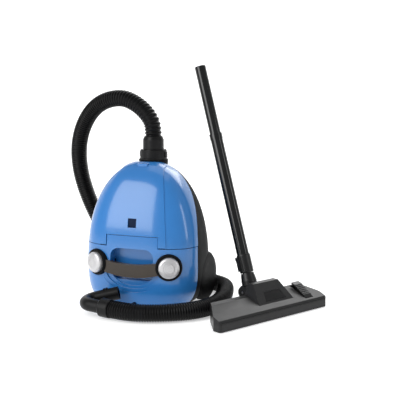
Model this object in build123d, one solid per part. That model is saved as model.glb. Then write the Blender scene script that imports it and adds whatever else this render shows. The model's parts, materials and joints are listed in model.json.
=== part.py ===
"""Canister vacuum cleaner parked on its rear end, with hose, grip, wand and floor head.

Millimetres. The origin is the centre of the canister's rear rest face, on the floor.
+Z runs up the canister to its hose inlet, -Y is the side with the dust lid and buttons,
and +Y is the underside with the wheels.
"""
import math
import os

from build123d import *

# Canister shell
BODY_HEIGHT = 345
HALF_WIDTH = 147
FOOT_HALF_WIDTH = 84
FRONT_DEPTH = 108
BACK_DEPTH = 78
WIDEST_Z = 100
WALL = 2.6
ROUNDNESS = 3.2
SPLIT_LINE = [(-41, -10), (-41, 120), (-38.5, 150), (-33, 180), (-23, 212), (-10, 243), (3, 277),
              (10, 306), (15, 345), (17, 390)]
GAP = 1.5
RIM_LIP = 1.2

# Dust lid and the housing below it
LID_LINE = 151
TAB_HALF = 66
TAB_TOP = 178
HINGE_Y = -97
HINGE_Z = 159
PANEL_RISE = 1.6

# Buttons and carry handle
BUTTON_X = 93.5
BUTTON_Z = 108.5
BUTTON_TURN = 24
BUTTON_R = 25
BEZEL_R = 32
BUTTON_TRAVEL = 4
HANDLE_LOW = 82
HANDLE_HIGH = 113
HANDLE_HALF = 70

# Hose inlet, collar and cuff
INLET_Y = 29
BOSS_R = 36
BOSS_TOP = 349
COLLAR_R = 32.8
COLLAR_TOP = 373
CUFF_R = 25.8
CUFF_TOP = 405

# Wheels and caster
OUTLET_X = 6
OUTLET_Z = 12
WHEEL_R = 60
WHEEL_Y = 42
WHEEL_Z = 62
WHEEL_INNER_X = 115
WHEEL_OUTER_X = 143
AXLE_R = 4
CASTER_Z = 262
CASTER_Y = 66
CASTER_R = 15
CASTER_TRAIL = 9

# Motor and cord reel
MOTOR_X = -52
MOTOR_Y = 8
REEL_X = 46
REEL_Z = 70
REEL_R = 48

# Hose and grip
HOSE_R = 21
HOSE_BORE_R = 18
GRIP_R = 15.5
GRIP_CUFF_R = 22

# Floor head and wand
HEAD_LENGTH = 348
HEAD_DEPTH = 82
HEAD_YAW = 62
HEAD_CENTRE = (347, -68)
NECK_X = 13
NECK_Y = 95
NECK_Z = 48
WAND_LEAN = 19.4
COLLAR_WAND_R = 16.6
LOWER_R = 14.8
UPPER_R = 13.6
COLLAR_END = 88
LOWER_END = 388
UPPER_END = 558

PARTS = "parts"


def save(name, *solids):
    shape = solids[0] if len(solids) == 1 else Compound(list(solids))
    export_step(shape, os.path.join(PARTS, name + ".step"))


def block(x0, x1, y0, y1, z0, z1):
    centre = Pos((x0 + x1) / 2, (y0 + y1) / 2, (z0 + z1) / 2)
    return centre * Box(abs(x1 - x0), abs(y1 - y0), abs(z1 - z0))


def rod(radius, start, end):
    start = Vector(*start)
    along = Vector(*end) - start
    return Part([Solid.make_cylinder(radius, along.length, Plane(start, z_dir=along))])


def tube(outer, inner, start, end):
    return rod(outer, start, end) - rod(inner, start, end)


def turned(profile, plane):
    """A solid of revolution: profile holds (radius, height) points, plane.z_dir is its axis."""
    face = Polyline(*[(r, 0, h) for r, h in profile], close=True)
    return plane * revolve(make_face(face), Axis.Z)


# ---------------------------------------------------------------- canister shell

def shell_scale(z):
    """Share of the greatest depth and width at a height above the widest section."""
    reach = (z - WIDEST_Z) / (BODY_HEIGHT + 3 - WIDEST_Z)
    return (1 - reach ** 2.2) ** (1 / 2.2)


def shell_sizes(z):
    if z >= WIDEST_Z:
        share = shell_scale(z)
        return HALF_WIDTH * share, FRONT_DEPTH * share, BACK_DEPTH * share
    drop = (WIDEST_Z - z) / WIDEST_Z
    rise = (1 - drop ** 2.6) ** (1 / 2.6)
    half = FOOT_HALF_WIDTH + (HALF_WIDTH - FOOT_HALF_WIDTH) * rise
    front = FRONT_DEPTH - 9 * drop ** 5
    return half, front, BACK_DEPTH - 14 * drop ** 4


def section(z, half, front, back):
    count = 48
    points = []
    for step in range(count):
        angle = 2 * math.pi * step / count
        c, s = math.cos(angle), math.sin(angle)
        x = half * math.copysign(abs(c) ** (2 / ROUNDNESS), c)
        depth = back if s > 0 else front
        y = depth * math.copysign(abs(s) ** (2 / ROUNDNESS), s)
        points.append((x, y, z))
    return Wire([Edge.make_spline(points, periodic=True)])


def shell_body(inset=0.0, low=0.0, high=BODY_HEIGHT):
    """The canister's closed outline, shrunk by inset, between two heights of the outline."""
    levels = [0, 4, 12, 26, 46, 72, 100, 135, 170, 205, 240, 270, 296, 316, 330, 339, 345]
    picked = [z for z in levels if low < z < high]
    wires = []
    for z in [low] + picked + [high]:
        half, front, back = shell_sizes(z)
        squeezed = inset + z * (BODY_HEIGHT - 2 * inset) / BODY_HEIGHT
        wires.append(section(squeezed, half - inset, front - inset, back - inset))
    return Part([Solid.make_loft(wires)])


def before_split(offset=0.0):
    """Everything on the lid side of the line where the blue and dark halves meet."""
    line = [(0, y + offset, z) for y, z in SPLIT_LINE]
    outline = Polyline((0, -200, -10), *line, (0, -200, 390), close=True)
    return extrude(make_face(outline), 200, dir=(1, 0, 0), both=True)


def front_y(x, z):
    half, front, _ = shell_sizes(z)
    return -front * (1 - (abs(x) / half) ** ROUNDNESS) ** (1 / ROUNDNESS)


OUTER = shell_body()
BELOW_FLOOR = block(-150, 150, -120, 90, -5, 0)
INNER = shell_body(WALL)
LID_SIDE = before_split()
LID_SIDE_CLEAR = before_split(-GAP)


def button_plane(side):
    x = side * BUTTON_X
    turn = math.radians(BUTTON_TURN)
    facing = (side * math.sin(turn), -math.cos(turn), 0)
    return Plane((x, front_y(x, BUTTON_Z), BUTTON_Z), x_dir=(0, 0, 1), z_dir=facing)


def along(plane, distance):
    return tuple(plane.origin + plane.z_dir * distance)


def front_prism(sketch, height, back_y):
    """A sketch standing in the XZ plane at a height, pushed from the front back to back_y."""
    placed = Plane((0, -140, height), x_dir=(1, 0, 0), z_dir=(0, 1, 0)) * sketch
    return extrude(placed, 140 + back_y, dir=(0, 1, 0))


def scoop(half, drop, depth):
    """One step of the shallow dish under the handle, depth below the front face."""
    dish = front_prism(Ellipse(half, drop), 95, depth - FRONT_DEPTH)
    return dish & block(-half, half, -140, 0, 0, 98)


def front_housing():
    """The blue lower front: a shell with a finger pocket, a dish and two button seats."""
    region = block(-150, 150, -120, 60, -1, LID_LINE)
    region = region + block(-TAB_HALF, TAB_HALF, -120, -70, LID_LINE - 1, TAB_TOP)
    void = INNER - front_prism(RectangleRounded(118, 84, 24), 109, -74)
    void = void - scoop(85, 57, 14)
    for side in (-1, 1):
        face = button_plane(side)
        void = void - rod(34, along(face, -10), along(face, 20))
        void = void - block(side * 50, side * 64, -112, -90, 153, 166)
    housing = (OUTER & LID_SIDE_CLEAR & region) - void
    housing = housing - front_prism(RectangleRounded(112, 78, 22), 109, -78)
    housing = housing - scoop(81, 53, 4) - scoop(70, 45, 7.5) - scoop(57, 38, 11)
    for side in (-1, 1):
        face = button_plane(side)
        housing = housing - rod(BEZEL_R + 0.1, along(face, -7.5), along(face, 30))
        housing = housing - rod(27.1, along(face, -40), along(face, 30))
        housing = housing - rod(2, (side * 53, HINGE_Y, HINGE_Z), (side * 76, HINGE_Y, HINGE_Z))
    rim = shell_body(RIM_LIP) & block(-90, 90, -112, -88, LID_LINE - 1.8, LID_LINE + 1)
    housing = housing - (rim - block(-TAB_HALF, TAB_HALF, -120, -80, 140, 160))
    return housing - rod(4.5, (OUTLET_X, -120, OUTLET_Z), (OUTLET_X, -85, OUTLET_Z)) - BELOW_FLOOR


def hinge_pins():
    ends = (53, 75)
    return [rod(2, (s * ends[0], HINGE_Y, HINGE_Z), (s * ends[1], HINGE_Y, HINGE_Z)) for s in (-1, 1)]


def panel_prism():
    """The outline of the lid's raised centre, which narrows upwards between two creases."""
    right = [(87, 140), (85.5, 171), (83, 200), (78, 242), (70, 285), (60, 318), (46, 352)]
    left = [(-x, z) for x, z in reversed(right)]
    outline = Polyline(*[(x, -200, z) for x, z in right + left], close=True)
    return extrude(make_face(outline), 190, dir=(0, 1, 0))


def dust_lid():
    region = block(-150, 150, -120, 60, LID_LINE + GAP, 360)
    region = region - block(-TAB_HALF - GAP, TAB_HALF + GAP, -130, -60, LID_LINE, TAB_TOP + GAP)
    void = INNER
    for side in (-1, 1):
        lug = block(side * 68, side * 74, -112, HINGE_Y + 4, HINGE_Z - 5, HINGE_Z + 6)
        void = void - lug
    panel = panel_prism()
    flanks = (OUTER & LID_SIDE & region) - panel
    centre = shell_body(-PANEL_RISE) & LID_SIDE & region & panel
    lid = (flanks + centre) - void
    for side in (-1, 1):
        lid = lid - rod(2.05, (side * 60, HINGE_Y, HINGE_Z), (side * 76, HINGE_Y, HINGE_Z))
        lid = lid - block(side * 66, side * 85, -112, -96, LID_LINE, LID_LINE + 2.7)
    lid = lid - rod(BOSS_R + 0.5, (0, INLET_Y, 280), (0, INLET_Y, 370))
    lid = lid - block(-11, 11, -120, -60, 198, 220)
    return lid - block(-14, 14, -40, -26, 325, 360)


WINDOW_Y = front_y(0, 209) + 1.2


def lid_latch():
    """A spring button in the lid's crown: pressing it frees the lid."""
    cap = block(-13.6, 13.6, -39.6, -26.4, 330, 344)
    hook = block(-6, 6, -34, -30, 318, 331)
    return fillet(cap.edges().filter_by(Axis.Z), 3) + hook


def lid_seal():
    ring = shell_body(WALL + 0.2) - shell_body(WALL + 5)
    slab = before_split(-0.5) - before_split(-4)
    ring = ring & slab & block(-150, 150, -120, 60, LID_LINE + 12, 300)
    return ring


def chassis():
    """The dark underside: wheel wells, hose inlet boss, reel post, caster socket and vents."""
    boss = rod(BOSS_R, (0, INLET_Y, 297), (0, INLET_Y, BOSS_TOP))
    void = INNER - boss - rod(9, (REEL_X, 60, REEL_Z), (REEL_X, 90, REEL_Z))
    void = void - rod(16, (0, CASTER_Y - 18, CASTER_Z), (0, 90, CASTER_Z))
    for x, z in SCREW_PLACES:
        void = void - rod(5, (x, 46, z), (x, 90, z))
    for side in (-1, 1):
        void = void - rod(WHEEL_R + 6, (side * 109, WHEEL_Y, WHEEL_Z), (side * 155, WHEEL_Y, WHEEL_Z))
        void = void - rod(9, (side * 98, WHEEL_Y, WHEEL_Z), (side * 110, WHEEL_Y, WHEEL_Z))
    body = (OUTER - LID_SIDE) + boss
    body = body - void - rod(26.4, (0, INLET_Y, 270), (0, INLET_Y, 360))
    for side in (-1, 1):
        body = body - rod(WHEEL_R + 3, (side * 112, WHEEL_Y, WHEEL_Z), (side * 160, WHEEL_Y, WHEEL_Z))
        body = body - rod(AXLE_R, (side * 100, WHEEL_Y, WHEEL_Z), (side * 160, WHEEL_Y, WHEEL_Z))
    body = body - rod(5, (REEL_X, 50, REEL_Z), (REEL_X, 72, REEL_Z))
    body = body - rod(4, (0, 40, CASTER_Z), (0, 120, CASTER_Z))
    body = body - rod(14, (0, CASTER_Y, CASTER_Z), (0, 120, CASTER_Z))
    for x, z in SCREW_PLACES:
        body = body - rod(2, (x, 48, z), (x, 90, z)) - rod(4, (x, 66, z), (x, 90, z))
    for row in range(6):
        low = 150 + 9 * row
        body = body - block(-42, 42, 60, 90, low, low + 4)
    return body - BELOW_FLOOR


SCREW_PLACES = [(-70, 180), (70, 180), (-6, 19), (98, 129)]


def chassis_screws():
    screws = []
    for x, z in SCREW_PLACES:
        shank = rod(2, (x, 50, z), (x, 66, z))
        head = rod(3.8, (x, 66, z), (x, 68.5, z))
        slot = block(x - 2.5, x + 2.5, 67.3, 69, z - 0.4, z + 0.4)
        screws.append(shank + head - slot)
    return screws


# ---------------------------------------------------------------- buttons and handle

def carry_handle():
    low, high = HANDLE_LOW, HANDLE_HIGH
    skin = shell_body(-7, 60, 140) - shell_body(5, 60, 140)
    half = HANDLE_HALF
    top = ThreePointArc((-half, -150, high + 6), (0, -150, high - 2), (half, -150, high + 6))
    base = ThreePointArc((half, -150, low + 7), (0, -150, low - 2), (-half, -150, low + 7))
    outline = [top, Line(top @ 1, base @ 0), base, Line(base @ 1, top @ 0)]
    bar = skin & extrude(make_face(outline), 100, dir=(0, 1, 0))
    flush = shell_body(-0.15, 55, 145)
    for side in (-1, 1):
        plane = button_plane(side)
        bar = bar - (flush & block(side * 55.8, side * 90, -130, 0, 60, 140))
        bar = bar - rod(BEZEL_R, along(plane, -30), along(plane, 30))
    return bar


def bezel(side):
    plane = button_plane(side)
    rim = [(26.3, -7.5), (BEZEL_R, -7.5), (BEZEL_R, 3.5), (30.5, 6), (27, 6), (26.3, 5)]
    cup = [(5.4, -20), (26.9, -20), (26.9, -7.4), (26.3, -7.4), (26.3, -18), (5.4, -18)]
    return turned(rim, plane) + turned(cup, plane)


def button(side):
    plane = button_plane(side)
    profile = [(0, -4), (BUTTON_R, -4), (BUTTON_R, 10.5), (24, 13), (20.5, 15.4), (14, 17.2),
               (13.2, 16.5), (12.4, 17.4), (6, 18.1), (0, 18.3)]
    return turned(profile, plane) + rod(5, along(plane, -23), along(plane, -3.9))


def button_spring(side):
    plane = button_plane(side)
    coil = Helix(pitch=3.9, height=7.8, radius=8)
    wire = Plane(coil @ 0, z_dir=coil % 0) * Circle(0.6)
    spring = sweep(wire, path=coil, is_frenet=True)
    return plane * Pos(0, 0, -17.3) * spring


# ---------------------------------------------------------------- hose connection

def hose_connector():
    at = lambda z: (0, INLET_Y, z)
    collar = turned(
        [(26.1, BOSS_TOP), (34, BOSS_TOP), (34, 352), (COLLAR_R, 353), (COLLAR_R, 371),
         (31.8, COLLAR_TOP), (26.1, COLLAR_TOP)],
        Plane(at(0)),
    )
    floor = tube(26.2, 15.5, at(346), at(351))
    spigot = tube(17, 15.5, at(294), at(347))
    ring = tube(26.2, 24.4, at(330), at(347))
    windows = block(-44, 44, INLET_Y - 5.3, INLET_Y + 5.3, 353.5, 368.5)
    return collar + floor + spigot + ring - windows


def connector_latch(side):
    pad = block(side * 28.2, side * 35, INLET_Y - 5, INLET_Y + 5, 354, 368)
    ribs = [block(side * 34, side * 36, INLET_Y - 5, INLET_Y + 5, z, z + 1.5) for z in (356, 360, 364)]
    return pad + ribs


def hose_cuff():
    profile = [(16, 352), (CUFF_R, 352), (CUFF_R, 397), (23, 404), (23, CUFF_TOP), (16, CUFF_TOP)]
    return turned(profile, Plane((0, INLET_Y, 0)))


HOSE_POINTS = [
    (0, 29, 405), (0, 29, 429), (-12, 31, 454), (-42, 38, 480), (-92, 48, 500), (-160, 62, 486),
    (-212, 80, 442), (-245, 98, 376), (-253, 118, 300), (-238, 138, 220), (-206, 156, 140),
    (-156, 172, 68), (-88, 180, 26), (-12, 180, 21.5), (48, 170, 21.5), (106, 149, 21.5),
    (157, 119, 21.5), (175, 73, 21.5), (190, 14, 21.5), (199, -46, 21.5), (190, -104, 21.5),
    (156, -152, 21.5), (99, -190, 21.5), (40, -209, 22.5), (-8, -201, 24.2),
]
GRIP_CUFF_LENGTH = 29.4
GRIP_BENDS = [(-91, -150, 27.5), (-24, -127, 44)]


def corner_radii(points):
    radii = []
    for before, here, after in zip(points, points[1:], points[2:]):
        entry = Vector(*here) - Vector(*before)
        leave = Vector(*after) - Vector(*here)
        turn = math.radians(entry.get_angle(leave))
        radii.append(0.45 * min(entry.length, leave.length) / math.tan(turn / 2))
    return radii


def hose_path(points):
    return FilletPolyline(*points, radius=corner_radii(points))


def hose():
    path = hose_path(HOSE_POINTS)
    start = Plane(path @ 0, z_dir=path % 0)
    solid = sweep(start * Circle(HOSE_R), path=path) - sweep(start * Circle(HOSE_BORE_R), path=path)
    area = math.pi * (HOSE_R ** 2 - HOSE_BORE_R ** 2)
    print("hose length", round(path.length), "mm")
    print("hose radii", [round(r) for r in corner_radii(HOSE_POINTS)])
    print("hose volume / section x length", round(solid.volume / (area * path.length), 4))
    return solid


# ---------------------------------------------------------------- grip on the hose's end

def grip_parts():
    start = Vector(*HOSE_POINTS[-1])
    heading = (start - Vector(*HOSE_POINTS[-2])).normalized()
    route = [tuple(start + heading * reach) for reach in (GRIP_CUFF_LENGTH, 77)] + GRIP_BENDS
    profile = [(12.6, 0), (21, 0), (GRIP_CUFF_R, 2), (GRIP_CUFF_R, 26), (19, 29.4), (12.6, 29.4)]
    cuff = turned(profile, Plane(start, z_dir=heading))
    path = hose_path(route)
    print("grip radii", [round(r) for r in corner_radii(route)])
    first = Plane(path @ 0, z_dir=path % 0)
    handle = sweep(first * Circle(GRIP_R), path=path) - sweep(first * Circle(GRIP_R - 3), path=path)
    bleed = path @ 0.8
    heading = path % 0.8
    up = (Vector(0, 0, 1) - heading * heading.Z).normalized()
    seat = Plane(bleed + up * (GRIP_R - 1), x_dir=heading, z_dir=up)
    handle = handle - seat * block(-12, 12, -5, 5, -3, 4)
    slider = seat * (block(-6, 6, -4.7, 4.7, -0.8, 2.4) + block(-4, -2, -4.7, 4.7, 2, 3.6)
                     + block(2, 4, -4.7, 4.7, 2, 3.6))
    print("grip slider seat", seat.origin, "axis", seat.x_dir)
    return cuff, handle, slider


# ---------------------------------------------------------------- wheels and caster

def wheel(side):
    width = WHEEL_OUTER_X - WHEEL_INNER_X
    bore = AXLE_R + 0.06
    profile = [(bore, 0), (54, 0), (57, 1), (57, width - 4), (54, width - 1.5), (47, width - 0.6),
               (38, width), (0, width), (0, width - 2.4), (bore, width - 2.4)]
    plane = Plane((side * WHEEL_INNER_X, WHEEL_Y, WHEEL_Z), x_dir=(0, 1, 0), z_dir=(side, 0, 0))
    return turned(profile, plane)


def tyre(side):
    profile = [(57, 1.4), (58, 1.6), (WHEEL_R, 4), (WHEEL_R, 20), (59, 22.5), (57, 24)]
    plane = Plane((side * WHEEL_INNER_X, WHEEL_Y, WHEEL_Z), x_dir=(0, 1, 0), z_dir=(side, 0, 0))
    return turned(profile, plane)


def axle(side):
    tip = side * (WHEEL_OUTER_X - 2.8)
    return rod(AXLE_R, (side * 100, WHEEL_Y, WHEEL_Z), (tip, WHEEL_Y, WHEEL_Z))


def caster_parts():
    wheel_y = 90.5
    roll_z = CASTER_Z - CASTER_TRAIL
    crown = rod(13, (0, CASTER_Y + 1, CASTER_Z), (0, CASTER_Y + 5, CASTER_Z))
    stem = rod(3.95, (0, 46, CASTER_Z), (0, CASTER_Y + 2, CASTER_Z))
    fork = crown + stem
    for side in (-1, 1):
        cheek = block(side * 8, side * 11, CASTER_Y + 4, wheel_y + 4, roll_z - 4, CASTER_Z + 5)
        fork = fork + cheek
    fork = fork - rod(2, (-14, wheel_y, roll_z), (14, wheel_y, roll_z))
    roller = turned([(2.05, -7), (13.5, -7), (CASTER_R, -5), (CASTER_R, 5), (13.5, 7), (2.05, 7)],
                    Plane((0, wheel_y, roll_z), x_dir=(0, 1, 0), z_dir=(1, 0, 0)))
    pin = rod(2, (-11.5, wheel_y, roll_z), (11.5, wheel_y, roll_z))
    return fork, roller, pin


# ---------------------------------------------------------------- inside the canister

def bulkhead():
    plate = (shell_body(WALL + 0.4) & block(-150, 150, -120, 100, 143, 146))
    plate = plate - block(-66, 66, -120, -72, 130, 150)
    for column in range(-3, 4):
        x = MOTOR_X + 9 * column
        plate = plate - block(x - 3, x + 3, MOTOR_Y - 24, MOTOR_Y + 24, 130, 150)
    return plate


def motor_filter():
    pad = block(MOTOR_X - 40, MOTOR_X + 40, MOTOR_Y - 34, MOTOR_Y + 34, 146.2, 153)
    return fillet(pad.edges().filter_by(Axis.Z), 6)


def motor():
    at = lambda z: (MOTOR_X, MOTOR_Y, z)
    seal = tube(46, 38, at(131), at(142.8))
    shroud = tube(46, 44, at(108), at(131)) + tube(46, 20, at(129), at(131)) + tube(46, 30, at(104), at(108))
    case = tube(38, 36, at(26), at(104)) + tube(38, 6, at(26), at(29))
    for side in (-1, 1):
        case = case - block(MOTOR_X - 60, MOTOR_X + 60, MOTOR_Y - 8, MOTOR_Y + 8, 34, 44)
    stator = tube(35.8, 25, at(50), at(90))
    rotor = rod(4, at(24), at(124)) + rod(24, at(52), at(88)) + rod(12, at(34), at(46))
    hub = rod(10, at(110), at(125)) + tube(42, 4, at(110), at(111.5)) + tube(42, 18, at(121), at(122.5))
    for number in range(7):
        blade = Pos(0, 0, 111) * Box(26, 1.2, 10.4, align=(Align.MIN, Align.CENTER, Align.MIN))
        placed = Pos(MOTOR_X, MOTOR_Y, 0) * Rot(0, 0, 360 * number / 7) * Pos(14, 0, 0) * Rot(0, 0, 24)
        hub = hub + placed * blade
    impeller = hub - rod(4, at(100), at(130))
    foot = tube(22, 7, at(3.4), at(25.8))
    return seal, shroud, case, stator, rotor, impeller, foot


def cord_reel():
    at = lambda y: (REEL_X, y, REEL_Z)
    drum = tube(22, 5.05, at(10), at(54)) + tube(REEL_R, 5.05, at(8), at(11)) + tube(REEL_R, 5.05, at(52), at(55))
    for number in range(6):
        angle = 2 * math.pi * number / 6
        x = REEL_X + 35 * math.cos(angle)
        z = REEL_Z + 35 * math.sin(angle)
        drum = drum - rod(8, (x, 0, z), (x, 60, z))
    shaft = rod(5, at(-8), at(72))
    spring_case = turned([(5.1, 0), (20, 0), (20, 9), (5.1, 9)], Plane(at(-4), z_dir=(0, 1, 0)))
    return drum, shaft, spring_case


def dust_bag():
    return shell_body(34, 162, 320)


def bag_holder():
    card = block(-50, 50, -40, 60, 291, 293.5)
    room = shell_body(WALL + 0.4) + rod(23.6, (0, INLET_Y, 285), (0, INLET_Y, 300))
    return (card & room) - rod(17.1, (0, INLET_Y, 280), (0, INLET_Y, 300))


def control_board():
    board = block(72, 100, -58, -56.4, 82, 134)
    switch = block(76, 92, -66.5, -58, 100, 114)
    return board, switch


def cord_outlet():
    bush = tube(4.5, 3, (OUTLET_X, -105.5, OUTLET_Z), (OUTLET_X, -94, OUTLET_Z))
    lip = tube(6.5, 3, (OUTLET_X, -106.4, OUTLET_Z), (OUTLET_X, -104.9, OUTLET_Z))
    return bush + lip


# ---------------------------------------------------------------- floor head

HEAD_FRAME = Location((HEAD_CENTRE[0], HEAD_CENTRE[1], 0), (0, 0, HEAD_YAW))
LEAN = math.radians(WAND_LEAN)
WAND_AXIS = (0, math.sin(LEAN), math.cos(LEAN))


def wand_point(distance):
    return (NECK_X, NECK_Y + distance * WAND_AXIS[1], NECK_Z + distance * WAND_AXIS[2])


def head_profile(grow=0.0):
    """The head's side outline: a low front lip, a sloping top and a rounded back."""
    return [(-1 - grow, 1.6), (-1 - grow, 22 + grow), (4, 27 + grow), (30, 38 + grow), (56, 48 + grow),
            (70, 50 + grow), (HEAD_DEPTH + grow, 40), (HEAD_DEPTH + grow, 1.6)]


def head_prism(half, grow=0.0):
    points = [(-half, y, z) for y, z in head_profile(grow)]
    return extrude(make_face(Polyline(*points, close=True)), 2 * half, dir=(1, 0, 0))


def head_plan(half, inset=0.0):
    """The head from above: straight front, ends that taper to the back, rounded corners."""
    near = half - inset
    back = HEAD_DEPTH - inset
    front = inset - 1
    outline = Polyline((-near, front), (near, front), (near, 22), (near - 44, back),
                       (-near + 44, back), (-near, 22), close=True)
    face = make_face(outline)
    face = fillet(face.vertices(), 6)
    return extrude(face, 80)


def hump(inset=0.0):
    """The raised ramp in front of the neck, with sloping sides."""
    low = Plane((HUMP_X, 46, 28 - inset)) * Rectangle(118 - 2 * inset, 62 - 2 * inset)
    top = Plane((HUMP_X, 66, 75 - inset)) * Rectangle(82 - 2 * inset, 16 - inset)
    return loft([low, top])


def hump_panel():
    """A shallow inset panel on the ramp, which narrows upwards."""
    slope = Plane((26, 32.8, 47.5), x_dir=(1, 0, 0), z_dir=(0, -47, 43))
    panel = make_face(Polyline((-33, -13), (33, -13), (25.5, 13), (-25.5, 13), close=True))
    return extrude(slope * panel, 3, both=True) - slope * block(-50, 50, -30, 30, -5, -0.9)


def head_cover():
    half = HEAD_LENGTH / 2
    skin = head_prism(half) & head_plan(half)
    void = head_prism(half, -2.5) & head_plan(half, 2.5)
    cover = skin - void - hump(3)
    cover = cover + (hump() - hump(3)) - hump_panel()
    cover = cover - rod(18.2, (NECK_X - 25.7, NECK_Y, NECK_Z), (NECK_X + 25.7, NECK_Y, NECK_Z))
    for side in (-1, 1):
        x0 = NECK_X + side * 26
        x1 = NECK_X + side * 29.5
        ear = block(x0, x1, 70, NECK_Y, 34, 62) + rod(14.5, (x0, NECK_Y, NECK_Z), (x1, NECK_Y, NECK_Z))
        cover = cover + ear
        rib = block(PEDAL_X + side * 14, PEDAL_X + side * 16.5, 12, 26, 12.6, 60) & skin
        cover = cover + rib
    cover = cover - rod(3, (NECK_X - 31, NECK_Y, NECK_Z), (NECK_X + 31, NECK_Y, NECK_Z))
    y0, z0 = PEDAL_PIVOT
    cover = cover - rod(2.05, (PEDAL_X - 16, y0, z0), (PEDAL_X + 16, y0, z0))
    cover = cover - block(PEDAL_X - 13.5, PEDAL_X + 13.5, 9.5, 66, 22, 90)
    return cover - block(-half, half, -3, 0.6, 20.8, 23.2)


HUMP_X = 23.5
PEDAL_X = 124
ROLLER_X = 106
PEDAL_PIVOT = (19, 27)


def head_sole():
    half = HEAD_LENGTH / 2
    sole = head_plan(half, 3.8) & block(-180, 180, -1, 90, 1.2, 4.8)
    sole = sole - block(-118, 118, 24, 40, 0, 8)
    sole = sole - block(-136, 136, 12, 16, 0, 8) - block(-136, 136, 50, 54, 0, 8)
    for side in (-1, 1):
        sole = sole - block(side * 114, side * 98, 61.5, 76.5, 0, 8)
        for edge in (-1, 1):
            x = side * ROLLER_X + edge * 9.4
            cheek = block(x - 1.4, x + 1.4, 63, 75, 4, 12)
            sole = sole + cheek
    return sole - rod(1.5, (-140, 69, 7), (140, 69, 7))


def brush_strips():
    """Two bristle strips on one carrier, which the pedal lowers through the sole."""
    carrier = block(-130, 130, 11.5, 16.5, 9.5, 11.5) + block(-130, 130, 49.5, 54.5, 9.5, 11.5)
    carrier = carrier + block(-80, -76, 11.5, 54.5, 9.5, 11.5) + block(76, 80, 11.5, 54.5, 9.5, 11.5)
    for y in (14, 52):
        carrier = carrier + block(-129, 129, y - 1.4, y + 1.4, 4.6, 9.6)
    return carrier


def rollers():
    parts = []
    for side in (-1, 1):
        roller = turned([(1.55, -6), (6.6, -6), (7, -5), (7, 5), (6.6, 6), (1.55, 6)],
                        Plane((side * ROLLER_X, 69, 7), x_dir=(0, 1, 0), z_dir=(1, 0, 0)))
        pin = rod(1.5, (side * ROLLER_X - 10.5, 69, 7), (side * ROLLER_X + 10.5, 69, 7))
        parts.append((roller, pin))
    return parts


def pedal():
    """The pedal that lowers the brushes: a ribbed foot plate hinged near the front edge."""
    y0, z0 = PEDAL_PIVOT
    side_view = Polyline((0, 15, 23), (0, 12, 30), (0, 18, 37), (0, 48, 56), (0, 58, 59.5),
                         (0, 58.5, 56), (0, 50, 52.5), (0, 27, 34), (0, 24, 23), close=True)
    plate = extrude(make_face(side_view), 12.5, dir=(1, 0, 0), both=True)
    plate = plate + rod(2, (-15.9, y0, z0), (15.9, y0, z0))
    for row in range(6):
        y = 20 + 4.8 * row
        z = 37 + (y - 18) * 19 / 30
        plate = plate + block(-10.5, 10.5, y, y + 1.8, z - 2, z + 2.2)
    return Pos(PEDAL_X, 0, 0) * plate


def neck_parts():
    drum = rod(17, (NECK_X - 24, NECK_Y, NECK_Z), (NECK_X + 24, NECK_Y, NECK_Z))
    cone_plane = Plane(wand_point(0), x_dir=(1, 0, 0), z_dir=WAND_AXIS)
    cone = turned([(0, 0), (18, 4), (18.5, 25), (15.5, 43.5), (0, 43.5)], cone_plane)
    stub = rod(11, wand_point(40), wand_point(62))
    bore = rod(9, wand_point(4), wand_point(70))
    pivot = drum + cone + stub - bore - block(NECK_X - 10, NECK_X + 10, 70, NECK_Y, 40, 56)
    pivot = pivot - rod(3, (NECK_X - 31, NECK_Y, NECK_Z), (NECK_X + 31, NECK_Y, NECK_Z))
    pins = []
    for side in (-1, 1):
        inner = NECK_X + side * 14
        outer = NECK_X + side * 29.5
        pins.append(rod(3, (inner, NECK_Y, NECK_Z), (outer, NECK_Y, NECK_Z)))
    collar = turned([(11.06, 44.5), (15.5, 44.5), (COLLAR_WAND_R, 47), (COLLAR_WAND_R, COLLAR_END - 2),
                     (16, COLLAR_END), (LOWER_R, COLLAR_END), (LOWER_R, 63), (11.06, 63)], cone_plane)
    seat = Plane(wand_point(67), x_dir=(1, 0, 0), z_dir=WAND_AXIS)
    for side in (-1, 1):
        collar = collar + seat * block(-21, -14.9, side * 5, side * 6.8, -17, 17)
    catch = seat * (block(-22.8, -18.2, -4.7, 4.7, -16, 16) + block(-24.2, -22.6, -4.7, 4.7, 8, 16))
    return pivot, pins, collar, catch


def wand_parts():
    lower = tube(LOWER_R, LOWER_R - 1.4, wand_point(63.3), wand_point(LOWER_END))
    lower = lower + tube(LOWER_R + 1, LOWER_R, wand_point(LOWER_END - 14), wand_point(LOWER_END))
    upper = tube(UPPER_R, UPPER_R - 1.3, wand_point(LOWER_END), wand_point(UPPER_END))
    spigot = tube(LOWER_R - 1.4, UPPER_R - 1.3, wand_point(LOWER_END - 40), wand_point(LOWER_END + 1))
    return lower, upper + spigot


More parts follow.
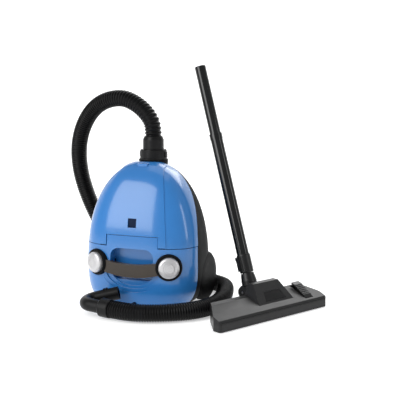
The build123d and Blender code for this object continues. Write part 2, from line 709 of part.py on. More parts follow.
def build():
    os.makedirs(PARTS, exist_ok=True)
    save("front_housing", front_housing())
    save("dust_lid", dust_lid())
    save("lid_latch", lid_latch())
    save("lid_seal", lid_seal())
    save("lid_hinge_pins", *hinge_pins())
    save("chassis", chassis())
    save("chassis_screws", *chassis_screws())
    save("indicator_window", block(-10.9, 10.9, WINDOW_Y, WINDOW_Y + 2, 198.1, 219.9))
    save("indicator_flag", block(-10, 3, WINDOW_Y + 2.6, WINDOW_Y + 3.8, 200, 218))
    save("carry_handle", carry_handle())
    save("button_bezels", bezel(-1), bezel(1))
    save("cord_rewind_button", button(-1))
    save("power_button", button(1))
    save("button_springs", button_spring(-1), button_spring(1))
    save("hose_connector", hose_connector())
    save("connector_latch_left", connector_latch(-1))
    save("connector_latch_right", connector_latch(1))
    save("hose_cuff", hose_cuff())
    save("hose", hose())
    cuff, handle, slider = grip_parts()
    save("grip_cuff", cuff)
    save("grip_tube", handle)
    save("suction_slider", slider)
    for side, word in ((-1, "left"), (1, "right")):
        save("wheel_" + word, wheel(side))
        save("tyre_" + word, tyre(side))
    save("wheel_axles", axle(-1), axle(1))
    fork, roller, pin = caster_parts()
    save("caster_fork", fork)
    save("caster_wheel", roller)
    save("caster_pin", pin)
    save("bulkhead", bulkhead())
    save("motor_filter", motor_filter())
    names = ("motor_seal", "fan_shroud", "motor_case", "motor_stator", "motor_rotor", "impeller",
             "motor_foot")
    for name, solid in zip(names, motor()):
        save(name, solid)
    drum, shaft, spring_case = cord_reel()
    save("cord_reel_drum", drum)
    save("cord_reel_shaft", shaft)
    save("reel_spring_case", spring_case)
    save("dust_bag", dust_bag())
    save("bag_holder", bag_holder())
    save("exhaust_filter", block(-46, 46, 58, 64, 148, 206))
    save("control_board", *control_board())
    save("cord_outlet", cord_outlet())
    save("head_cover", HEAD_FRAME * head_cover())
    save("head_sole", HEAD_FRAME * head_sole())
    save("brush_strips", HEAD_FRAME * brush_strips())
    pairs = rollers()
    for (roller, _), word in zip(pairs, ("left", "right")):
        save("head_roller_" + word, HEAD_FRAME * roller)
    save("roller_pins", *[HEAD_FRAME * pin for _, pin in pairs])
    save("head_pedal", HEAD_FRAME * pedal())
    pivot, pins, collar, catch = neck_parts()
    save("neck_pivot", HEAD_FRAME * pivot)
    save("neck_pins", *[HEAD_FRAME * pin for pin in pins])
    save("neck_collar", HEAD_FRAME * collar)
    save("wand_catch", HEAD_FRAME * catch)
    lower, upper = wand_parts()
    save("wand_lower", HEAD_FRAME * lower)
    save("wand_upper", HEAD_FRAME * upper)


build()
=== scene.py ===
"""Looks of the canister vacuum cleaner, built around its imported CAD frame."""
import json
import math
import random

import bmesh
import bpy
from mathutils import Matrix, Vector, noise


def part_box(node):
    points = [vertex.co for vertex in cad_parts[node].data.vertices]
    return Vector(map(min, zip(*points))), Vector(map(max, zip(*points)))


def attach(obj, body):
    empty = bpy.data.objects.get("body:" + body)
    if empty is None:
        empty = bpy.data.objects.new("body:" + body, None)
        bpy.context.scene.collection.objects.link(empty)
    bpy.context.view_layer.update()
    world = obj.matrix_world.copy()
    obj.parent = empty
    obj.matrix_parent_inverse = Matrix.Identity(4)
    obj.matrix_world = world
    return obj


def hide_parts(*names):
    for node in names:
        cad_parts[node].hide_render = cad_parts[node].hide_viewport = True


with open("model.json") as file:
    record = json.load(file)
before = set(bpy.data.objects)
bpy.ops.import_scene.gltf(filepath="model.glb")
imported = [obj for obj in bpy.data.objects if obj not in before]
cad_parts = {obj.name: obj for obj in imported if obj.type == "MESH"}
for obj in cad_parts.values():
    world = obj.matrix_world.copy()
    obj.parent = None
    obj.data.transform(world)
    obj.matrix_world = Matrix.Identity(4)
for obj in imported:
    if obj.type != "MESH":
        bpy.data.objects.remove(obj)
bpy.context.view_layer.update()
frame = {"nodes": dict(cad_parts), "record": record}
NODES = frame["nodes"]

MM = 0.001
UP = Vector((0, 0, 1))

# The camera stands in front of the canister and to its right
CAMERA_TURN = math.radians(24)
CAMERA_DISTANCE = 2.3
CAMERA_HEIGHT = 0.6
CAMERA_LENS = 85
CAMERA_YAW = math.radians(-3.12)
CAMERA_PITCH = math.radians(-8.66)

# The hose's crests' radius, in metres
HOSE_RADIUS = 0.0210

# Its ribs: their pitch, how much wider they are pulled at the cuff and how far that reaches
# along the hose, their depth as a share of the radius, and how full their crests are
RIB_PITCH = 0.0058
RIB_STRETCH = 0.0038
STRETCH_REACH = 0.17
RIB_DEPTH = 0.125
CREST_POWER = 0.75

# Its mesh: the distance between rings and the sides of a ring
HOSE_STEP = 0.0009
HOSE_SIDES = 36

# The hose's route, in millimetres, from the cuff on the canister to the grip on the floor
HOSE_ROUTE = [
    (0, 29, 405), (0, 29, 429), (-12, 31, 454), (-42, 38, 480), (-92, 48, 500),
    (-160, 62, 486), (-212, 80, 442), (-245, 98, 376), (-253, 118, 300), (-238, 138, 220),
    (-206, 156, 140), (-156, 172, 68), (-88, 180, 26), (-12, 180, 21.5), (48, 170, 21.5),
    (106, 149, 21.5), (157, 119, 21.5), (175, 73, 21.5), (190, 14, 21.5), (199, -46, 21.5),
    (190, -104, 21.5), (156, -152, 21.5), (99, -190, 21.5), (40, -209, 22.5), (-8, -201, 24.2),
]

# The floor head's own frame: its place on the floor and its turn
HEAD_PLACE = Vector((0.347, -0.068, 0))
HEAD_TURN = math.radians(62)

# The brushes, in the floor head's own millimetres: each bar's lowest and highest corner
BRUSH_BARS = [
    ((-130, 11.5, 9.5), (130, 16.5, 11.5)), ((-130, 49.5, 9.5), (130, 54.5, 11.5)),
    ((-80, 16.4, 9.5), (-76, 49.6, 11.5)), ((76, 16.4, 9.5), (80, 49.6, 11.5)),
]

# The rows of tufts, where a row starts, its tufts and their pitch, and the hairs in a tuft
TUFT_ROWS = (14, 52)
TUFT_START = -128
TUFTS = 65
TUFT_PITCH = 4
HAIRS = 8

# A hair: the heights and radii of its root and tip, and how far along the row each may go
ROOT_HEIGHT = 9.7
TIP_HEIGHT = 4.7
ROOT_RADIUS = 0.22
TIP_RADIUS = 0.12
ROOT_LIMIT = 128.8
TIP_LIMIT = 129

# The two round buttons face outwards by this much
BUTTON_TURN = math.radians(24)

# The rings on a button's face: each one's radius and thickness, and its mesh's divisions
BUTTON_RINGS = ((0.0046, 0.0005), (0.0103, 0.0006))
RING_STEPS = 48
RING_CORNERS = 6
RING_NEAR = 0.0035
RING_SINK = 0.0002

# The pleated filters: the width of the rim and half the sheet's thickness
FILTER_RIM = 0.003
SHEET_HALF = 0.0005

# The plate on the floor head's hump, in the head's own millimetres: its middle, the two
# directions of the slope, its corners along them, and the rounding of the corners
PLATE_CENTRE = Vector((26, 32.8, 47.5))
PLATE_UP = Vector((0, 43, 47)).normalized()
PLATE_OUT = Vector((0, -47, 43)).normalized()
PLATE_CORNERS = ((-32.4, -12.4), (32.4, -12.4), (25.1, 12.4), (-25.1, 12.4))
PLATE_ROUNDING = 3.2
PLATE_ARC = 6

# The plate's skins: how far each stands from the slope, and how far its outline draws in
PLATE_LEVELS = ((-1.3, 0.0), (-0.45, 0.0), (-0.2, 0.35))

# The floor, in metres: its half width and front, where it starts to sweep up, the sweep's
# radius and divisions, and the backdrop's top
FLOOR_SIDE = 14.0
FLOOR_BACK = 3.0
SWEEP_RADIUS = 1.5
SWEEP_STEPS = 12
BACKDROP_TOP = 5.0

# Each light's name, place, aim, width, power and height
LIGHTS = [
    ("softbox", (-1.15, -2.15, 1.4), (0, 0, 0.25), 1.65, 52, 2.2),
    ("strip", (2.45, -0.2, 0.95), (0, 0, 0.25), 0.4, 7, 1.3),
    ("top", (0.1, 0.6, 2.9), (0.1, 0, 0), 2.2, 14, 2.2),
    ("back", (0.6, 2.8, 2.6), (0, 2.0, 0.6), 2.4, 60, 2.4),
]
WORLD_COLOUR = (0.97, 0.98, 1.0, 1)
WORLD_STRENGTH = 0.42
FLOOR_GLOW = 0.45


# ------------------------------------------------------------------ camera

def make_camera():
    data = bpy.data.cameras.new("camera")
    data.lens = CAMERA_LENS
    camera = bpy.data.objects.new("camera", data)
    bpy.context.scene.collection.objects.link(camera)
    camera.location = (
        math.sin(CAMERA_TURN) * CAMERA_DISTANCE,
        -math.cos(CAMERA_TURN) * CAMERA_DISTANCE,
        CAMERA_HEIGHT,
    )
    turn = CAMERA_TURN + CAMERA_YAW
    camera.rotation_euler = (math.pi / 2 + CAMERA_PITCH, 0, turn)
    bpy.context.scene.camera = camera


# ------------------------------------------------------------------ material helpers

# How far a bevelled normal leans from the true one where an edge starts to show, and where
# it shows fully
EDGE_LEAN_LOW = 0.02
EDGE_LEAN_HIGH = 0.22


class Shade:
    """A node tree under construction: one Principled shader and what feeds it."""

    def __init__(self, name, rough=0.5, metallic=0.0, coat=0.0, coat_rough=0.1, sheen=0.0,
                 gloss=0.5):
        self.material = bpy.data.materials.new(name)
        self.material.use_nodes = True
        self.tree = self.material.node_tree
        self.shader = self.tree.nodes["Principled BSDF"]
        self.shader.inputs["Roughness"].default_value = rough
        self.shader.inputs["Metallic"].default_value = metallic
        self.shader.inputs["Coat Weight"].default_value = coat
        self.shader.inputs["Coat Roughness"].default_value = coat_rough
        self.shader.inputs["Sheen Weight"].default_value = sheen
        self.shader.inputs["Specular IOR Level"].default_value = gloss
        self.coords = self.node("ShaderNodeTexCoord").outputs["Object"]

    def node(self, kind, **values):
        made = self.tree.nodes.new(kind)
        for key, value in values.items():
            setattr(made, key, value)
        return made

    def link(self, source, target):
        self.tree.links.new(source, target)

    def noise(self, scale, detail=4.0, rough=0.55, coords=None):
        made = self.node("ShaderNodeTexNoise")
        made.inputs["Scale"].default_value = scale
        made.inputs["Detail"].default_value = detail
        made.inputs["Roughness"].default_value = rough
        self.link(coords or self.coords, made.inputs["Vector"])
        return made.outputs["Fac"]

    def cells(self, scale):
        made = self.node("ShaderNodeTexVoronoi", feature="F1")
        made.inputs["Scale"].default_value = scale
        self.link(self.coords, made.inputs["Vector"])
        return made.outputs["Distance"]

    def ramp(self, source, stops):
        made = self.node("ShaderNodeValToRGB")
        while len(made.color_ramp.elements) < len(stops):
            made.color_ramp.elements.new(0.5)
        for element, (place, colour) in zip(made.color_ramp.elements, stops):
            element.position = place
            element.color = (*colour, 1)
        self.link(source, made.inputs["Fac"])
        return made.outputs["Color"]

    def spread(self, source, low, high):
        made = self.node("ShaderNodeMapRange")
        made.inputs["To Min"].default_value = low
        made.inputs["To Max"].default_value = high
        self.link(source, made.inputs["Value"])
        return made.outputs["Result"]

    def mix(self, factor, first, second):
        """Two colours, each a tuple or a socket, mixed by a factor."""
        made = self.node("ShaderNodeMix", data_type="RGBA")
        # Sockets 6 and 7 are the colours, and output 2 is the mixed colour
        for socket, value in ((made.inputs[6], first), (made.inputs[7], second)):
            if isinstance(value, tuple):
                socket.default_value = (*value, 1)
            else:
                self.link(value, socket)
        self.link(factor, made.inputs[0])
        return made.outputs[2]

    def edge(self, radius=0.0015):
        """White along sharp edges, where a bevelled normal leans from the true one."""
        bevel = self.node("ShaderNodeBevel", samples=4)
        bevel.inputs["Radius"].default_value = radius
        normal = self.node("ShaderNodeNewGeometry").outputs["Normal"]
        dot = self.node("ShaderNodeVectorMath", operation="DOT_PRODUCT")
        self.link(bevel.outputs["Normal"], dot.inputs[0])
        self.link(normal, dot.inputs[1])
        made = self.node("ShaderNodeMapRange")
        made.inputs["From Min"].default_value = 1 - EDGE_LEAN_LOW
        made.inputs["From Max"].default_value = 1 - EDGE_LEAN_HIGH
        self.link(dot.outputs["Value"], made.inputs["Value"])
        return made.outputs["Result"]

    def colour(self, source):
        self.link(source, self.shader.inputs["Base Color"])

    def roughness(self, source):
        self.link(source, self.shader.inputs["Roughness"])

    def bump(self, source, strength, distance):
        made = self.node("ShaderNodeBump")
        made.inputs["Strength"].default_value = strength
        made.inputs["Distance"].default_value = distance
        self.link(source, made.inputs["Height"])
        self.link(made.outputs["Normal"], self.shader.inputs["Normal"])


def tint(colour, factor):
    """A colour made brighter or darker."""
    return tuple(min(1.0, channel * factor) for channel in colour)


def moulded(name, colour, rough, grain=900.0, grain_depth=0.00006, coat=0.0, patchy=0.12,
            wear=1.35, gloss=0.5):
    """Injection-moulded plastic: fine grain, slight flow marks, paler worn edges."""
    shade = Shade(name, rough=rough, coat=coat, coat_rough=0.14, gloss=gloss)
    cloud = shade.noise(9.0, 3.0)
    base = shade.ramp(cloud, [(0.3, tint(colour, 1 - patchy)), (0.7, tint(colour, 1 + patchy))])
    shade.colour(shade.mix(shade.edge(), base, tint(colour, wear)))
    smear = shade.noise(38.0, 5.0, 0.65)
    shade.roughness(shade.spread(smear, rough * 0.8, min(1.0, rough * 1.22)))
    shade.bump(shade.noise(grain, 2.0), 0.35, grain_depth)
    return shade.material


def lacquered(name, colour, rough):
    """Silver lacquer on plastic: tiny flakes under a thin clear coat."""
    shade = Shade(name, rough=rough, metallic=0.55, coat=0.4, coat_rough=0.08)
    base = shade.ramp(shade.cells(2600.0), [(0.0, tint(colour, 0.9)), (0.6, tint(colour, 1.1))])
    shade.colour(shade.mix(shade.edge(0.001), base, tint(colour, 1.2)))
    shade.roughness(shade.spread(shade.noise(60.0), rough * 0.85, rough * 1.2))
    shade.bump(shade.noise(1400.0, 2.0), 0.2, 0.00003)
    return shade.material


def turned_metal(name, colour, rough):
    """Drawn or spun metal with fine lines and a little tarnish."""
    shade = Shade(name, rough=rough, metallic=1.0)
    stretch = shade.node("ShaderNodeMapping")
    stretch.inputs["Scale"].default_value = (1.0, 1.0, 18.0)
    shade.link(shade.coords, stretch.inputs["Vector"])
    lines = shade.noise(260.0, 3.0, 0.6, stretch.outputs["Vector"])
    tarnish = shade.noise(24.0, 4.0)
    shade.colour(shade.ramp(tarnish, [(0.35, tint(colour, 0.82)), (0.7, tint(colour, 1.06))]))
    shade.roughness(shade.spread(lines, rough * 0.7, rough * 1.35))
    shade.bump(lines, 0.25, 0.00004)
    return shade.material


def rubber(name, colour):
    """Dull rubber with a little dust on it."""
    shade = Shade(name, rough=0.72, sheen=0.03, gloss=0.1)
    dust = shade.noise(30.0, 6.0, 0.7)
    shade.colour(shade.ramp(dust, [(0.35, colour), (0.75, tint(colour, 1.8))]))
    shade.roughness(shade.spread(shade.noise(120.0), 0.6, 0.85))
    shade.bump(shade.noise(700.0, 3.0), 0.4, 0.0001)
    return shade.material


def fleece(name, colour):
    """Matted fibres: filter fleece, bag paper and bristles."""
    shade = Shade(name, rough=0.95, sheen=0.4)
    fibres = shade.noise(420.0, 6.0, 0.75)
    blotch = shade.noise(22.0, 3.0)
    base = shade.ramp(blotch, [(0.3, tint(colour, 0.86)), (0.7, tint(colour, 1.05))])
    shade.colour(shade.mix(fibres, base, tint(colour, 0.8)))
    shade.bump(fibres, 0.6, 0.0004)
    return shade.material


# The record's material slots, and what each is made of
MATERIALS = {
    "blue_shell": (moulded, dict(
        colour=(0.021, 0.163, 0.455), rough=0.34, grain=1500.0, grain_depth=0.00001, coat=0.95,
        patchy=0.03, wear=1.15, gloss=0.2)),
    "charcoal_plastic": (moulded, dict(colour=(0.0065, 0.007, 0.0077), rough=0.5, gloss=0.05)),
    "handle_bronze": (moulded, dict(
        colour=(0.033, 0.024, 0.016), rough=0.36, grain=1600.0, grain_depth=0.00003, coat=0.15,
        patchy=0.06, gloss=0.3)),
    "button_silver": (lacquered, dict(colour=(0.5, 0.495, 0.5), rough=0.4)),
    "indicator_blue": (moulded, dict(
        colour=(0.0015, 0.010, 0.036), rough=0.3, grain=1500.0, grain_depth=0.00001, gloss=0.12)),
    "flag_red": (moulded, dict(colour=(0.42, 0.03, 0.02), rough=0.45)),
    "spring_steel": (turned_metal, dict(colour=(0.5, 0.49, 0.48), rough=0.34)),
    "seal_rubber": (rubber, dict(colour=(0.010, 0.010, 0.010))),
    "hose_black": (moulded, dict(
        colour=(0.0018, 0.0018, 0.002), rough=0.3, grain=1100.0, grain_depth=0.00005,
        patchy=0.15, wear=2.0, gloss=0.14)),
    "fitting_black": (moulded, dict(
        colour=(0.0042, 0.0042, 0.0045), rough=0.36, grain=1000.0, patchy=0.1, wear=1.8,
        gloss=0.2)),
    "wheel_plastic": (moulded, dict(colour=(0.0042, 0.0042, 0.0045), rough=0.5, gloss=0.05)),
    "wheel_tread": (rubber, dict(colour=(0.005, 0.005, 0.0052))),
    "filter_foam": (fleece, dict(colour=(0.72, 0.73, 0.7))),
    "bag_paper": (fleece, dict(colour=(0.6, 0.47, 0.3))),
    "motor_metal": (turned_metal, dict(colour=(0.7, 0.71, 0.72), rough=0.32)),
    "motor_iron": (turned_metal, dict(colour=(0.2, 0.19, 0.18), rough=0.5)),
    "reel_plastic": (moulded, dict(colour=(0.3, 0.3, 0.3), rough=0.5)),
    "board_green": (moulded, dict(colour=(0.02, 0.14, 0.05), rough=0.4)),
    "head_grey": (moulded, dict(
        colour=(0.0065, 0.0065, 0.0067), rough=0.32, grain=1000.0, patchy=0.08, wear=1.8,
        gloss=0.35)),
    "sole_steel": (turned_metal, dict(colour=(0.3, 0.3, 0.3), rough=0.4)),
    "bristle": (fleece, dict(colour=(0.02, 0.02, 0.02))),
    "wand_black": (moulded, dict(
        colour=(0.0024, 0.0028, 0.0028), rough=0.13, grain=1600.0, grain_depth=0.00001,
        coat=0.35, patchy=0.05, wear=1.5, gloss=0.3)),
}
made = {}


def cover_with_painted_shade():
    """The floor head's grey cover, with painted shade: a dark band round it at the height of the
    groove along its front edge.
    """
    shade = Shade("cover_with_painted_shade", rough=0.4, gloss=0.22)
    grey = (0.015, 0.015, 0.0153)
    # Heights, in metres, between which the painted shade of the front groove is laid as a band
    shade_band_low = 0.014
    shade_band_high = 0.034
    base = shade.ramp(shade.noise(9.0, 3.0), [(0.3, tint(grey, 0.92)), (0.7, tint(grey, 1.08))])
    base = shade.mix(shade.edge(), base, tint(grey, 1.4))
    split = shade.node("ShaderNodeSeparateXYZ")
    shade.link(shade.coords, split.inputs["Vector"])
    height = shade.node("ShaderNodeMapRange")
    height.inputs["From Min"].default_value = shade_band_low
    height.inputs["From Max"].default_value = shade_band_high
    shade.link(split.outputs["Z"], height.inputs["Value"])
    # The painted shade: how strongly the cover's colour is drawn towards near black across that
    # band
    clear = (0, 0, 0)
    dark = (0.85, 0.85, 0.85)
    stops = [(0.0, clear), (0.33, dark), (0.45, dark), (1.0, clear)]
    painted_groove_shade = shade.ramp(height.outputs["Result"], stops)
    # The painted shade is mixed into the cover's colour here
    shade.colour(shade.mix(painted_groove_shade, base, (0.006, 0.006, 0.0062)))
    shade.roughness(shade.spread(shade.noise(38.0, 5.0, 0.65), 0.3, 0.42))
    shade.bump(shade.noise(1000.0, 2.0), 0.35, 0.00008)
    return shade.material


VARIANTS = {"head_cover": cover_with_painted_shade}


def finish_of(slot):
    """A slot's material, made once."""
    if slot not in made:
        kind, values = MATERIALS[slot]
        made[slot] = kind(slot, **values)
    return made[slot]


def dress_cad():
    """Every CAD node's own material, from its slot in the record."""
    for entry in frame["record"]["subparts"]:
        piece = NODES[entry["node"]]
        piece.data.materials.clear()
        variant = VARIANTS.get(entry["node"])
        piece.data.materials.append(variant() if variant else finish_of(entry["material_slot"]))


# ------------------------------------------------------------------ mesh helpers

def mesh_piece(name, vertices, faces, slot, body, smooth=True):
    """A new piece from vertices and faces, with a slot's finish, riding on a body."""
    mesh = bpy.data.meshes.new(name)
    mesh.from_pydata([tuple(v) for v in vertices], [], faces)
    mesh.validate()
    if smooth:
        mesh.polygons.foreach_set("use_smooth", [True] * len(mesh.polygons))
    mesh.materials.append(finish_of(slot))
    piece = bpy.data.objects.new(name, mesh)
    bpy.context.scene.collection.objects.link(piece)
    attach(piece, body)
    return piece


def read_line(points):
    """The points of the NURBS line that control points in millimetres give."""
    curve = bpy.data.curves.new("route", "CURVE")
    curve.dimensions = "3D"
    spline = curve.splines.new("NURBS")
    spline.points.add(len(points) - 1)
    for control, (x, y, z) in zip(spline.points, points):
        control.co = (x * MM, y * MM, z * MM, 1)
    spline.order_u = 3
    spline.use_endpoint_u = True
    curve.resolution_u = 24
    holder = bpy.data.objects.new("route", curve)
    bpy.context.scene.collection.objects.link(holder)
    bpy.context.view_layer.update()
    mesh = bpy.data.meshes.new_from_object(holder)
    line = [v.co.copy() for v in mesh.vertices]
    bpy.data.objects.remove(holder)
    bpy.data.meshes.remove(mesh)
    return line


def resample(line, step):
    """Points about a step apart along a polyline, with both ends kept, and its length."""
    lengths = [0.0]
    for a, b in zip(line, line[1:]):
        lengths.append(lengths[-1] + (b - a).length)
    count = max(2, round(lengths[-1] / step))
    out = []
    place = 0
    for index in range(count + 1):
        want = lengths[-1] * index / count
        while place < len(lengths) - 2 and lengths[place + 1] < want:
            place += 1
        span = lengths[place + 1] - lengths[place]
        share = (want - lengths[place]) / span if span else 0.0
        out.append(line[place].lerp(line[place + 1], share))
    return out, lengths[-1]


def sleeve(line, radii, sides):
    """Rings of vertices round a line, one radius for each point, with no twist."""
    vertices = []
    normal = None
    for index, here in enumerate(line):
        ahead = line[min(index + 1, len(line) - 1)] - line[max(index - 1, 0)]
        ahead.normalize()
        if normal is None:
            normal = ahead.orthogonal().normalized()
        normal = (normal - ahead * normal.dot(ahead)).normalized()
        across = ahead.cross(normal)
        for side in range(sides):
            angle = 2 * math.pi * side / sides
            offset = normal * math.cos(angle) + across * math.sin(angle)
            vertices.append(here + offset * radii[index])
    faces = []
    for ring in range(len(line) - 1):
        for side in range(sides):
            a = ring * sides + side
            b = ring * sides + (side + 1) % sides
            faces.append((a, b, b + sides, a + sides))
    faces.append(tuple(reversed(range(sides))))
    faces.append(tuple(range(len(vertices) - sides, len(vertices))))
    return vertices, faces


# ------------------------------------------------------------------ the hose

def make_hose():
    """The corrugated hose, whose ribs are pulled further apart near the canister."""
    line, length = resample(read_line(HOSE_ROUTE), HOSE_STEP)
    step = length / (len(line) - 1)
    turn = 0.0
    radii = []
    for index in range(len(line)):
        pitch = RIB_PITCH + RIB_STRETCH * math.exp(-((index * step) / STRETCH_REACH) ** 2)
        turn += step / pitch
        crest = 0.5 + 0.5 * math.cos(2 * math.pi * turn)
        radii.append(HOSE_RADIUS * (1 - RIB_DEPTH + RIB_DEPTH * crest ** CREST_POWER))
    vertices, faces = sleeve(line, radii, HOSE_SIDES)
    hose = mesh_piece("ribbed_hose", vertices, faces, "hose_black", "canister")
    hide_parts("hose")


# ------------------------------------------------------------------ soft and fine pieces

def add_box(vertices, faces, low, high):
    """Six faces of a box between two corners, added to a growing mesh."""
    start = len(vertices)
    for x in (low[0], high[0]):
        for y in (low[1], high[1]):
            for z in (low[2], high[2]):
                vertices.append(Vector((x, y, z)))
    sides = ((0, 1, 3, 2), (4, 6, 7, 5), (0, 4, 5, 1), (2, 3, 7, 6), (0, 2, 6, 4), (1, 5, 7, 3))
    for face in sides:
        faces.append(tuple(start + corner for corner in face))


def soften(piece, width, segments=2):
    """Rounds a piece's edges in its own mesh."""
    mesh = bmesh.new()
    mesh.from_mesh(piece.data)
    bmesh.ops.bevel(mesh, geom=mesh.edges[:], offset=width, segments=segments, affect="EDGES",
                    clamp_overlap=True)
    mesh.to_mesh(piece.data)
    mesh.free()


def make_pleated_filter(name, node, thick_axis, pleats):
    """A folded filter sheet in a moulded rim, in the space of its CAD pad."""
    low, high = (Vector(corner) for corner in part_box(node))
    long_axis = 1 if thick_axis == 2 else 2
    rim = FILTER_RIM
    middle = (low[thick_axis] + high[thick_axis]) / 2
    depth = (high[thick_axis] - low[thick_axis]) / 2 - 0.0007
    vertices = []
    faces = []
    count = 2 * pleats
    for index in range(count + 1):
        across = low.x + rim + (high.x - low.x - 2 * rim) * index / count
        fold = middle + (depth if index % 2 else -depth)
        for run in (low[long_axis] + rim, high[long_axis] - rim):
            for skin in (-SHEET_HALF, SHEET_HALF):
                place = [across, 0, 0]
                place[long_axis] = run
                place[thick_axis] = fold + skin
                vertices.append(Vector(place))
    for index in range(count):
        a = 4 * index
        faces.append((a, a + 2, a + 6, a + 4))
        faces.append((a + 1, a + 5, a + 7, a + 3))
        faces.append((a, a + 4, a + 5, a + 1))
        faces.append((a + 2, a + 3, a + 7, a + 6))
    faces.append((0, 1, 3, 2))
    faces.append((4 * count, 4 * count + 2, 4 * count + 3, 4 * count + 1))
    sheet = mesh_piece(name, vertices, faces, "filter_foam", "canister", smooth=False)
    rim_vertices = []
    rim_faces = []
    for axis in (0, long_axis):
        for end in (0, 1):
            near = low.copy()
            far = high.copy()
            if end:
                near[axis] = high[axis] - rim
            else:
                far[axis] = low[axis] + rim
            if axis:
                near.x += rim
                far.x -= rim
            add_box(rim_vertices, rim_faces, near, far)
    border = mesh_piece(name + "_rim", rim_vertices, rim_faces, "charcoal_plastic", "canister",
                        smooth=False)
    soften(border, 0.0006)
    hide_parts(node)


def make_dust_bag():
    """A part-filled paper bag: the space it fills, drawn in, gusseted and crumpled."""
    source = NODES["dust_bag"]
    bag = bpy.data.objects.new("paper_dust_bag", source.data.copy())
    bpy.context.scene.collection.objects.link(bag)
    remesh = bag.modifiers.new("even", "REMESH")
    remesh.mode = "VOXEL"
    remesh.voxel_size = 0.004
    bpy.context.view_layer.update()
    evaluated = bag.evaluated_get(bpy.context.evaluated_depsgraph_get())
    mesh = bpy.data.meshes.new_from_object(evaluated)
    bag.modifiers.clear()
    bag.data = mesh
    low, high = (Vector(corner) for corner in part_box("dust_bag"))
    centre = (low + high) / 2
    half = (high - low) / 2
    moved = []
    for vertex in mesh.vertices:
        here = vertex.co
        crumple = 1 - abs(noise.noise(here * 26.0))
        wrinkle = 1 - abs(noise.noise(here * 70.0 + Vector((3, 1, 7))))
        side = min(1.0, abs(here.x - centre.x) / half.x)
        fold = math.exp(-((here.y - centre.y) / 0.010) ** 2)
        gusset = fold * max(0.0, side - 0.45) / 0.55
        draw = 0.0012 + 0.0042 * crumple ** 3 + 0.0014 * wrinkle ** 2 + 0.012 * gusset
        moved.append(here - vertex.normal * draw)
    for vertex, place in zip(mesh.vertices, moved):
        vertex.co = place
    mesh.materials.clear()
    mesh.materials.append(finish_of("bag_paper"))
    mesh.polygons.foreach_set("use_smooth", [True] * len(mesh.polygons))
    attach(bag, "canister")
    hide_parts("dust_bag")


def on_head(x, y, z):
    """A point of the floor head's own frame, in millimetres, in the shared frame."""
    turned = Matrix.Rotation(HEAD_TURN, 3, "Z") @ Vector((x * MM, y * MM, z * MM))
    return HEAD_PLACE + turned


def held(value, limit):
    """A value kept within a limit on both sides."""
    return max(-limit, min(limit, value))


def add_corners(vertices, x, y, z, radius):
    """Three corners of a hair round a point of the floor head's own frame."""
    for corner in range(3):
        angle = 2 * math.pi * corner / 3
        vertices.append(on_head(x + radius * math.cos(angle), y + radius * math.sin(angle), z))


def make_bristles():
    """Two rows of bristle tufts on their carrier."""
    vertices = []
    faces = []
    for low, high in BRUSH_BARS:
        add_box(vertices, faces, low, high)
    vertices = [on_head(*corner) for corner in vertices]
    carrier = mesh_piece("brush_carrier", vertices, faces, "charcoal_plastic", "brushes",
                         smooth=False)
    soften(carrier, 0.0004, 1)
    chooser = random.Random(11)
    vertices = []
    faces = []
    for row in TUFT_ROWS:
        for tuft in range(TUFTS):
            centre = TUFT_START + TUFT_PITCH * tuft
            for _ in range(HAIRS):
                x = held(centre + chooser.uniform(-1.0, 1.0), ROOT_LIMIT)
                y = row + chooser.uniform(-0.8, 0.8)
                tip_x = held(x + chooser.uniform(-0.8, 0.8), TIP_LIMIT)
                tip_y = y + chooser.uniform(-0.5, 0.5)
                start = len(vertices)
                add_corners(vertices, x, y, ROOT_HEIGHT, ROOT_RADIUS)
                add_corners(vertices, tip_x, tip_y, TIP_HEIGHT, TIP_RADIUS)
                tip = start + 3
                for corner in range(3):
                    after = (corner + 1) % 3
                    faces.append((start + corner, tip + corner, tip + after, start + after))
                faces.append((tip, tip + 2, tip + 1))
    tufts = mesh_piece("bristle_tufts", vertices, faces, "bristle", "brushes", smooth=False)
    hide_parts("brush_strips")


def make_button_rings(node, body):
    """Two fine raised rings on a button's face, standing out of the face itself."""
    mesh = NODES[node].data
    low, high = (Vector(corner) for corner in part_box(node))
    side = 1 if low.x + high.x > 0 else -1
    axis = Vector((side * math.sin(BUTTON_TURN), -math.cos(BUTTON_TURN), 0))
    centre = (low + high) / 2
    across = axis.cross(UP)
    vertices = []
    faces = []
    for radius, thick in BUTTON_RINGS:
        near = [v.co for v in mesh.vertices
                if abs((v.co - centre).cross(axis).length - radius) < RING_NEAR]
        face = max(point.dot(axis) for point in near)
        middle = centre + axis * (face - centre.dot(axis) - RING_SINK)
        start = len(vertices)
        for step in range(RING_STEPS):
            turn = 2 * math.pi * step / RING_STEPS
            spoke = across * math.cos(turn) + UP * math.sin(turn)
            for corner in range(RING_CORNERS):
                angle = 2 * math.pi * corner / RING_CORNERS
                outward = spoke * (radius + thick * math.cos(angle))
                vertices.append(middle + outward + axis * thick * math.sin(angle))
        for step in range(RING_STEPS):
            here = start + RING_CORNERS * step
            ahead = start + RING_CORNERS * ((step + 1) % RING_STEPS)
            for corner in range(RING_CORNERS):
                after = (corner + 1) % RING_CORNERS
                faces.append((here + corner, here + after, ahead + after, ahead + corner))
    rings = mesh_piece(node + "_rings", vertices, faces, "button_silver", body)
    mesh = bmesh.new()
    mesh.from_mesh(rings.data)
    bmesh.ops.recalc_face_normals(mesh, faces=mesh.faces[:])
    mesh.to_mesh(rings.data)
    mesh.free()


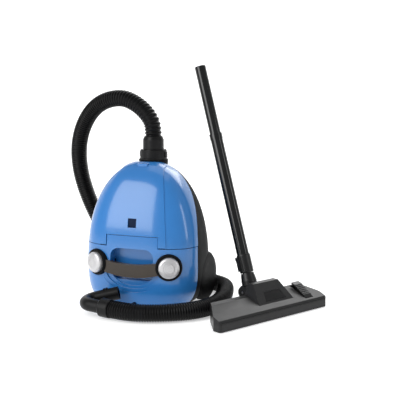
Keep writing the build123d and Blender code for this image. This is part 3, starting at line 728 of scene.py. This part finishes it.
def make_head_plate():
    """The plain dark plate set into the sloping front of the floor head's hump."""
    outline = []
    for index, corner in enumerate(PLATE_CORNERS):
        here = Vector(corner)
        before = (Vector(PLATE_CORNERS[index - 1]) - here).normalized() * PLATE_ROUNDING
        after = (Vector(PLATE_CORNERS[(index + 1) % 4]) - here).normalized() * PLATE_ROUNDING
        for step in range(PLATE_ARC + 1):
            share = step / PLATE_ARC
            outline.append(here + before * (1 - share) ** 2 + after * share ** 2)
    vertices = []
    for level, inset in PLATE_LEVELS:
        for point in outline:
            shrunk = point * (1 - inset / point.length)
            along = Vector((shrunk.x, 0, 0)) + PLATE_UP * shrunk.y
            vertices.append(on_head(*(PLATE_CENTRE + along + PLATE_OUT * level)))
    count = len(outline)
    faces = [tuple(reversed(range(count))), tuple(range(2 * count, 3 * count))]
    for ring in (0, count):
        for index in range(count):
            after = (index + 1) % count
            faces.append((ring + index, ring + after, ring + count + after, ring + count + index))
    mesh_piece("head_front_plate", vertices, faces, "fitting_black", "floor_head", smooth=False)


# ------------------------------------------------------------------ floor and light

def make_stage():
    """A pale floor that sweeps up into a backdrop far behind the object."""
    profile = [(-FLOOR_SIDE, 0.0), (FLOOR_BACK, 0.0)]
    for step in range(1, SWEEP_STEPS + 1):
        angle = math.pi / 2 * step / SWEEP_STEPS
        profile.append((
            FLOOR_BACK + SWEEP_RADIUS * math.sin(angle),
            SWEEP_RADIUS - SWEEP_RADIUS * math.cos(angle),
        ))
    profile.append((FLOOR_BACK + SWEEP_RADIUS, BACKDROP_TOP))
    vertices = []
    for depth, height in profile:
        vertices += [(-FLOOR_SIDE, depth, height), (FLOOR_SIDE, depth, height)]
    faces = [(2 * i, 2 * i + 1, 2 * i + 3, 2 * i + 2) for i in range(len(profile) - 1)]
    mesh = bpy.data.meshes.new("floor")
    mesh.from_pydata(vertices, [], faces)
    mesh.polygons.foreach_set("use_smooth", [True] * len(mesh.polygons))
    shade = Shade("pale_floor", rough=0.7, gloss=0.2)
    shade.shader.inputs["Emission Color"].default_value = (1, 1, 1, 1)
    shade.shader.inputs["Emission Strength"].default_value = FLOOR_GLOW
    tones = [(0.3, (0.93, 0.93, 0.93)), (0.7, (0.95, 0.95, 0.95))]
    shade.colour(shade.ramp(shade.noise(3.0), tones))
    mesh.materials.append(shade.material)
    floor = bpy.data.objects.new("floor", mesh)
    floor.rotation_euler = (0, 0, CAMERA_TURN)
    bpy.context.scene.collection.objects.link(floor)


def make_lights():
    for name, place, aim, width, power, height in LIGHTS:
        data = bpy.data.lights.new(name, "AREA")
        data.shape = "RECTANGLE"
        data.size = width
        data.size_y = height
        data.energy = power
        light = bpy.data.objects.new(name, data)
        light.location = place
        heading = Vector(aim) - Vector(place)
        light.rotation_euler = heading.to_track_quat("-Z", "Y").to_euler()
        bpy.context.scene.collection.objects.link(light)
    world = bpy.data.worlds.new("studio")
    bpy.context.scene.world = world
    world.use_nodes = True
    background = world.node_tree.nodes["Background"]
    background.inputs["Color"].default_value = WORLD_COLOUR
    background.inputs["Strength"].default_value = WORLD_STRENGTH
    bpy.context.scene.view_settings.view_transform = "Standard"


make_camera()
make_hose()
dress_cad()
make_dust_bag()
make_pleated_filter("pleated_motor_filter", "motor_filter", 2, 16)
make_pleated_filter("pleated_exhaust_filter", "exhaust_filter", 1, 18)
make_bristles()
make_button_rings("power_button", "power")
make_button_rings("cord_rewind_button", "rewind")
make_head_plate()
make_stage()
make_lights()
